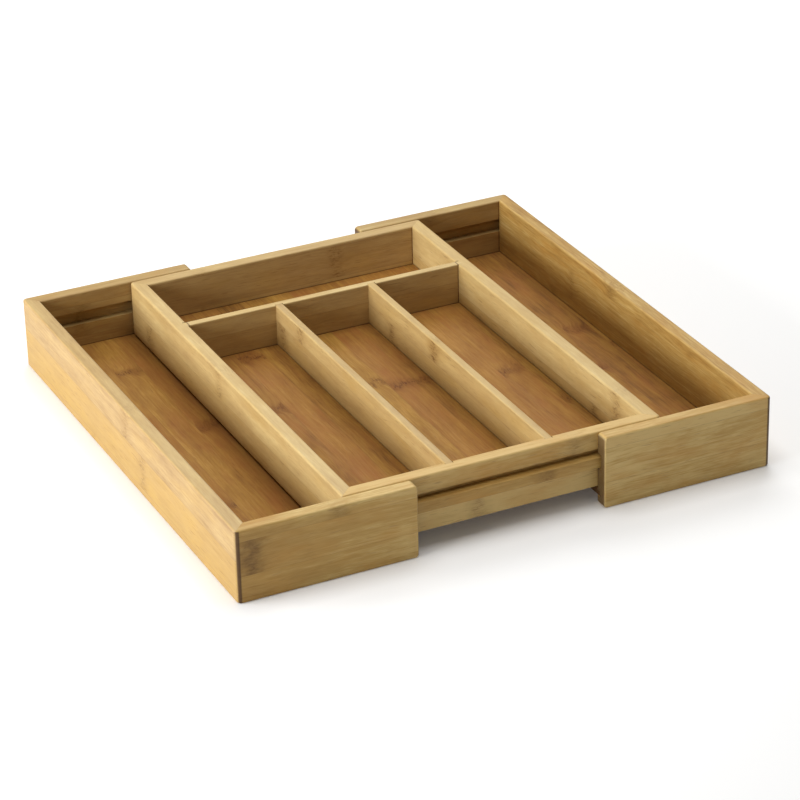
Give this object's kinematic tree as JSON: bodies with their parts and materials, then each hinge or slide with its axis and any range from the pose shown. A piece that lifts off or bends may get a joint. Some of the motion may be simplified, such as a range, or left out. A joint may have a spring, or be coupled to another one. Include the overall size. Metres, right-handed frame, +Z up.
{
  "type": "expandable cutlery tray",
  "caption": "Rectangular bamboo cutlery tray with long bays, a cross bay behind them, and a sliding wing on each side that pulls out to open one more bay.",
  "frame": {"origin": "middle of the opened tray's footprint, on the surface that it stands on", "axes": "+X to the right, along the pull of the right wing; +Y to the back, where the cross bay is; +Z up"},
  "size_m": [0.4054, 0.4, 0.0545],
  "materials": {
    "wall": "natural bamboo, planed, sanded and lacquered satin",
    "divider": "natural bamboo, sanded and lacquered satin",
    "rail": "natural bamboo strip, sanded and lacquered satin",
    "floor_panel": "carbonised bamboo panel, lacquered satin",
    "screw": "zinc-plated steel"
  },
  "bodies": {
    "tray": {"front_wall": "wall", "rear_wall": "wall", "left_wall": "wall", "right_wall": "wall", "tray_floor": "floor_panel", "cross_divider": "divider", "long_divider_1": "divider", "long_divider_2": "divider", "front_rail": "rail", "rear_rail": "rail"},
    "left_wing": {"left_side_wall": "wall", "left_front_arm": "wall", "left_rear_arm": "wall", "left_floor_panel": "floor_panel", "left_stop_strip": "rail", "left_stop_screws": "screw"},
    "right_wing": {"right_side_wall": "wall", "right_front_arm": "wall", "right_rear_arm": "wall", "right_floor_panel": "floor_panel", "right_stop_strip": "rail", "right_stop_screws": "screw"}
  },
  "joints": [
    {"name": "left_wing_slide", "type": "slide", "parent": "tray", "child": "left_wing", "axis": [-1, 0, 0], "range_m": [-0.07, 0]},
    {"name": "right_wing_slide", "type": "slide", "parent": "tray", "child": "right_wing", "axis": [1, 0, 0], "range_m": [-0.07, 0]}
  ]
}
